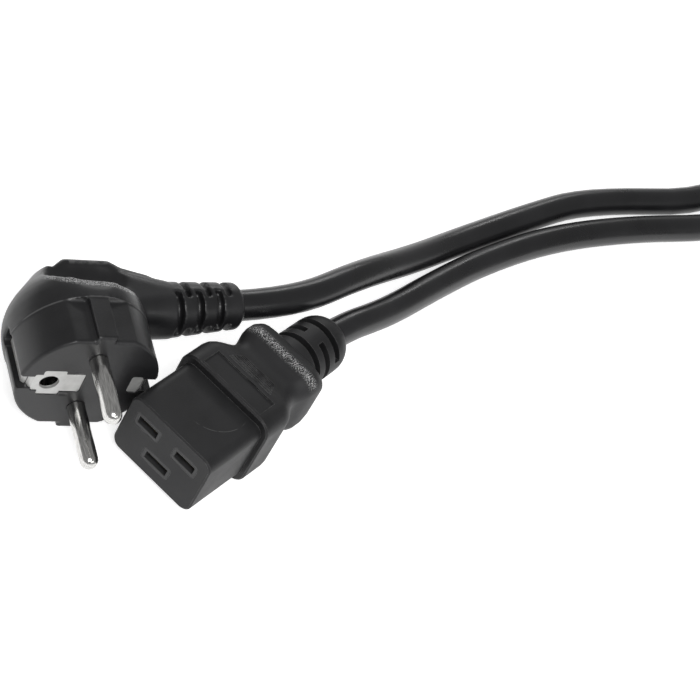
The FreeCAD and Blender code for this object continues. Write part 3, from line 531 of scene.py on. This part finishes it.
PLUG_EDGE = 0.0004
WEAR_AND_HIGHLIGHT_SHARE = 0.5
plug_pvc = finish("plug_pvc", (0.012, 0.012, 0.013), rough=0.40, patch=0.010, grain=0.00035,
                  depth=0.00005)
plug_pvc.node_tree.nodes["Principled BSDF"].inputs["Specular IOR Level"].default_value = 0.45
tree = plug_pvc.node_tree
# Edges lightened in patches: partly wear, partly painted edge highlights.
wear_and_edge_highlight = product(tree, edges_of(tree, PLUG_EDGE), grains(tree, SCUFF_AND_HIGHLIGHT_PATCH, SCUFF_AND_HIGHLIGHT_LEVELS), WEAR_AND_HIGHLIGHT_SHARE)
masked(plug_pvc, wear_and_edge_highlight, colour=(0.09, 0.09, 0.09), rough=0.4)
place = tree.nodes.new("ShaderNodeTexCoord")
in_plug = tree.nodes.new("ShaderNodeMapping")
in_plug.vector_type = "TEXTURE"
in_plug.inputs["Location"].default_value = PLUG_AT
in_plug.inputs["Rotation"].default_value = (0, 0, PLUG_YAW)
tree.links.new(place.outputs["Object"], in_plug.inputs["Vector"])
apart = tree.nodes.new("ShaderNodeSeparateXYZ")
tree.links.new(in_plug.outputs[0], apart.inputs[0])
out, along, up = apart.outputs
from_middle = off(tree, up, 0.0)

# Painted highlight glints: grains on the front lip of each scoop, between its hollow and the dome,
# rubbed glossy and painted light grey.
LIP_GLINT_LEVELS = (0.46, 0.60)
LIP_OUTSIDE = (LIP_R, LIP_R - 0.0012)               # fades in from the dome
LIP_INSIDE = (SCOOP_R - 0.0014, SCOOP_R - 0.0006)   # and from the hollow
LIP_HEIGHTS = (0.012, 0.014)
LIP_FRONT = (0.003, 0.006)                          # in front of the scoop's middle
back = joined(tree, "ADD", out, SCOOP_BACK)
beyond = joined(tree, "SUBTRACT", off(tree, along, SCOOP_MIDDLE), SCOOP_HALF_L)
spread = length(tree, joined(tree, "MAXIMUM", beyond, 0.0), back)
lip = product(tree, ramp(tree, spread, *LIP_OUTSIDE), ramp(tree, spread, *LIP_INSIDE),
              ramp(tree, from_middle, *LIP_HEIGHTS), ramp(tree, back, *LIP_FRONT))
masked(plug_pvc, product(tree, lip, grains(tree, GLINT_GRAIN, LIP_GLINT_LEVELS)),
       colour=(0.40, 0.40, 0.40), rough=0.32)

# Painted highlight in patches along the rim round the back of the fin.
FIN_BACK = (-0.0338, -0.0348)                       # fades in between these, behind the face
FIN_SIDE = (0.0046, 0.0056)                         # and between these from the fin's middle
FIN_HIGHLIGHT_SHARE = 0.8
fin_rim = product(tree, ramp(tree, out, *FIN_BACK), ramp(tree, from_middle, *FIN_SIDE),
                  grains(tree, SCRATCH_AND_HIGHLIGHT_PATCH, SCRATCH_AND_HIGHLIGHT_LEVELS), FIN_HIGHLIGHT_SHARE)
masked(plug_pvc, fin_rim, colour=(0.12, 0.12, 0.12), rough=0.34)

# Painted highlight: a bright line on the step between the handle and the part that enters a socket.
STEP_AT = -0.0132
STEP_HALF_W = (0.0003, 0.0001)                      # where the line starts and is full
STEP_SHARE = 0.7
step_line = product(tree, ramp(tree, off(tree, out, STEP_AT), *STEP_HALF_W),
                    grains(tree, SCUFF_AND_HIGHLIGHT_PATCH, SCRATCH_AND_HIGHLIGHT_LEVELS), STEP_SHARE)
masked(plug_pvc, step_line, colour=(0.10, 0.10, 0.10), rough=0.35)
plug_overmould = stand_in("plug_overmould", even, plug_pvc, "overmould_pvc", "plug_shell")

# ---- Flexible cord -------------------------------------------------------------
# Extruded round PVC cord, 8.4 mm thick, moulded into the connector at one end
# and into the plug at the other. Its spare length is wound in two layers.
CORD_D = 0.0084
CORD_EXIT = (-0.03575, 0.0, 0.0124)
from_connector = [
    CORD_EXIT, (-0.044, 0.0006, 0.0120), (-0.052, 0.0018, 0.0108), (-0.064, 0.0030, 0.0088),
    (-0.085, 0.0037, 0.0064), (-0.109, 0.0055, 0.0042), (-0.138, 0.0122, 0.0042),
    (-0.168, 0.0252, 0.0042), (-0.198, 0.0424, 0.0042), (-0.228, 0.0506, 0.0042),
    (-0.267, 0.0519, 0.0042)]
from_plug = [
    (-0.056, -0.0085, 0.0168), (-0.084, -0.0058, 0.0089), (-0.109, -0.0035, 0.0042),
    (-0.137, 0.0024, 0.0042), (-0.163, 0.0088, 0.0042), (-0.207, 0.0356, 0.0042),
    (-0.245, 0.031, 0.0047), (-0.274, 0.008, 0.0086)]
COIL_CENTRE = (-0.3642, 0.0015)
COIL_R = 0.0516                 # outermost turn, at the middle of the cord
COIL_FROM = 90.0                # direction from the centre in which the winding starts
COIL_STEPS = 24                 # points in each turn
COIL_LEAD = 0.036               # straight stretch into and out of the winding
LAYER_TURNS = 2.1986
CLIMB_TURNS = 0.2               # part of a turn in which the cord climbs to the second layer
LOW = 0.0053                    # height of the lower layer, with the tie under it
HIGH = LOW + CORD_D


def coil_point(turns):
    """Point on the winding, this many turns after it starts at the bottom outside."""
    climb = min(max((turns - LAYER_TURNS) / CLIMB_TURNS, 0.0), 1.0)
    inward = min(turns, LAYER_TURNS) - max(turns - LAYER_TURNS - CLIMB_TURNS, 0.0)
    radius = COIL_R - CORD_D * inward
    angle = math.radians(COIL_FROM + 360 * turns)
    height = LOW + (HIGH - LOW) * (1 - math.cos(math.pi * climb)) / 2
    return (COIL_CENTRE[0] + radius * math.cos(angle),
            COIL_CENTRE[1] + radius * math.sin(angle), height)


def coil_lead(turns, onward):
    """Point on the straight lead beside the start or the end of the winding."""
    x, y, z = coil_point(turns)
    angle = math.radians(COIL_FROM + 360 * turns)
    return (x - onward * COIL_LEAD * math.sin(angle), y + onward * COIL_LEAD * math.cos(angle), z)


all_turns = 2 * LAYER_TURNS + CLIMB_TURNS
coil_steps = round(all_turns * COIL_STEPS)
coil = [coil_point(all_turns * step / coil_steps) for step in range(coil_steps + 1)]


def on_plug(out, along):
    """Point at the height of the plug's middle, this far out of its face and along it."""
    return PLUG_AT + Vector((out * math.cos(PLUG_YAW) - along * math.sin(PLUG_YAW),
                             out * math.sin(PLUG_YAW) + along * math.cos(PLUG_YAW), 0))


ARM_TILT = math.radians(6.6)    # the arm leans back from the plug's face
ARM_END = (-0.0272, 0.048)      # the strain relief's end, out of the face and along it
ARM_LEAD = 0.018                # straight stretch of cord that leaves it
plug_exit = on_plug(*ARM_END)
plug_first = on_plug(ARM_END[0] - ARM_LEAD * math.sin(ARM_TILT),
                     ARM_END[1] + ARM_LEAD * math.cos(ARM_TILT))
route = from_connector + [coil_lead(0, -1)] + coil + [coil_lead(all_turns, 1)]
route += from_plug[::-1] + [tuple(plug_first), tuple(plug_exit)]
cord_curve = bpy.data.curves.new("cord", "CURVE")
cord_curve.dimensions = "3D"
cord_curve.bevel_depth = CORD_D / 2
cord_curve.bevel_resolution = 8
cord_curve.resolution_u = 6
cord_curve.use_fill_caps = True
spline = cord_curve.splines.new("NURBS")
spline.points.add(len(route) - 1)
for point, at in zip(spline.points, route):
    point.co = (*at, 1.0)
spline.use_endpoint_u = True
spline.order_u = 3
cord_pvc = finish("glossy_cord_pvc", (0.011, 0.011, 0.012), rough=0.30, patch=0.015, grain=0.008,
                  depth=0.00008, gloss=0.05)
cord_curve.materials.append(cord_pvc)
cord = placed("cord", cord_curve)
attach(cord, "root")
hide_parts("cord_from_connector", "cord_coil", "cord_from_plug")

# ---- Coil tie --------------------------------------------------------------------
# A soft ribbed PVC strip, wrapped once round the wound cord and pressed shut into
# one closed band. Its ribs face both ways and keep it from sliding.
TIE_ANGLE = math.radians(190.0)         # where on the coil it sits
TIE_CLEAR = 0.0002
TIE_CORNER = 0.0026                     # radius of the loop's corners
TIE_TURNS_IN = 2.25                     # cord widths from the outermost turn to the innermost
CORNER_STEP = 15                        # degrees between a corner's points
loop_in = COIL_R - TIE_TURNS_IN * CORD_D - CORD_D / 2 - TIE_CLEAR
loop_out = COIL_R + CORD_D / 2 + TIE_CLEAR
loop_low = LOW - CORD_D / 2 - TIE_CLEAR
loop_high = HIGH + CORD_D / 2 + TIE_CLEAR
outline = []
for across, up, start in ((1, 1, 0), (-1, 1, 90), (-1, -1, 180), (1, -1, 270)):
    corner_r = loop_out - TIE_CORNER if across > 0 else loop_in + TIE_CORNER
    corner_z = loop_high - TIE_CORNER if up > 0 else loop_low + TIE_CORNER
    for turn in range(start, start + 91, CORNER_STEP):
        angle = math.radians(turn)
        outline.append((corner_r + TIE_CORNER * math.cos(angle),
                        corner_z + TIE_CORNER * math.sin(angle)))
loop_curve = bpy.data.curves.new("tie_loop", "CURVE")
loop_curve.dimensions = "3D"
loop = loop_curve.splines.new("POLY")
loop.points.add(len(outline) - 1)
for point, (radial, height) in zip(loop.points, outline):
    point.co = (COIL_CENTRE[0] + radial * math.cos(TIE_ANGLE),
                COIL_CENTRE[1] + radial * math.sin(TIE_ANGLE), height, 1.0)
loop.use_cyclic_u = True

# The strip and its ribs, made along any closed loop.
RIB_SHARE = 0.86                        # share of the strip's width that a rib covers
ribbed_strip = bpy.data.node_groups.new("ribbed_strip", "GeometryNodeTree")
for label, kind in (("Geometry", "NodeSocketGeometry"), ("Width", "NodeSocketFloat"),
                    ("Thickness", "NodeSocketFloat"), ("Rib spacing", "NodeSocketFloat"),
                    ("Rib size", "NodeSocketFloat"), ("Material", "NodeSocketMaterial")):
    ribbed_strip.interface.new_socket(name=label, in_out="INPUT", socket_type=kind)
ribbed_strip.interface.new_socket(name="Geometry", in_out="OUTPUT",
                                  socket_type="NodeSocketGeometry")
nodes = ribbed_strip.nodes
links = ribbed_strip.links
given = nodes.new("NodeGroupInput").outputs
band = nodes.new("GeometryNodeCurvePrimitiveQuadrilateral")
links.new(given["Width"], band.inputs["Width"])
links.new(given["Thickness"], band.inputs["Height"])
strip = nodes.new("GeometryNodeCurveToMesh")
links.new(given["Geometry"], strip.inputs["Curve"])
links.new(band.outputs[0], strip.inputs["Profile Curve"])
along_loop = nodes.new("GeometryNodeCurveToPoints")
along_loop.mode = "LENGTH"
links.new(given["Geometry"], along_loop.inputs["Curve"])
links.new(given["Rib spacing"], along_loop.inputs["Length"])
rib = nodes.new("GeometryNodeMeshCylinder")
rib.inputs["Vertices"].default_value = 6
links.new(given["Rib size"], rib.inputs["Radius"])
rib_length = nodes.new("ShaderNodeMath")
rib_length.operation = "MULTIPLY"
rib_length.inputs[1].default_value = RIB_SHARE
links.new(given["Width"], rib_length.inputs[0])
links.new(rib_length.outputs[0], rib.inputs["Depth"])
laid = nodes.new("GeometryNodeTransform")
laid.inputs["Rotation"].default_value = (0, math.pi / 2, 0)
links.new(rib.outputs["Mesh"], laid.inputs["Geometry"])
ribs = nodes.new("GeometryNodeInstanceOnPoints")
links.new(along_loop.outputs["Points"], ribs.inputs["Points"])
links.new(laid.outputs[0], ribs.inputs["Instance"])
links.new(along_loop.outputs["Rotation"], ribs.inputs["Rotation"])
together = nodes.new("GeometryNodeJoinGeometry")
links.new(strip.outputs[0], together.inputs[0])
links.new(ribs.outputs[0], together.inputs[0])
real = nodes.new("GeometryNodeRealizeInstances")
links.new(together.outputs[0], real.inputs[0])
coloured = nodes.new("GeometryNodeSetMaterial")
links.new(real.outputs[0], coloured.inputs["Geometry"])
links.new(given["Material"], coloured.inputs["Material"])
links.new(coloured.outputs[0], nodes.new("NodeGroupOutput").inputs[0])

tie_pvc = finish("tie_pvc", (0.016, 0.016, 0.017), rough=0.62, patch=0.004, grain=0.0004,
                 depth=0.00008)
tie_path = placed("tie_path", loop_curve)
made_tie = tie_path.modifiers.new("strip", "NODES")
made_tie.node_group = ribbed_strip
tie_sizes = {"Width": 0.0118, "Thickness": 0.0006, "Rib spacing": 0.0016, "Rib size": 0.00045,
             "Material": tie_pvc}
for item in ribbed_strip.interface.items_tree:
    if item.in_out == "INPUT" and item.name in tie_sizes:
        made_tie[item.identifier] = tie_sizes[item.name]
tie_mesh = bpy.data.meshes.new_from_object(
    tie_path.evaluated_get(bpy.context.evaluated_depsgraph_get()))
bpy.data.objects.remove(tie_path)
tie = stand_in("ribbed_tie", tie_mesh, tie_pvc, "tie_pvc", "coil_tie")

# ---- What the cord carries ---------------------------------------------------------
# The cord's far end is moulded into the plug and carries all of it: the body, pins,
# bridge, strap, sleeve and wires. The tie sits on the winding.
on_cord = [plug_overmould, earth_strip, earth_sleeve, *pins, node["pin_bridge"], tie]
on_cord += [piece for name, piece in node.items()
            if name.startswith("plug_") and name != "plug_shell"]
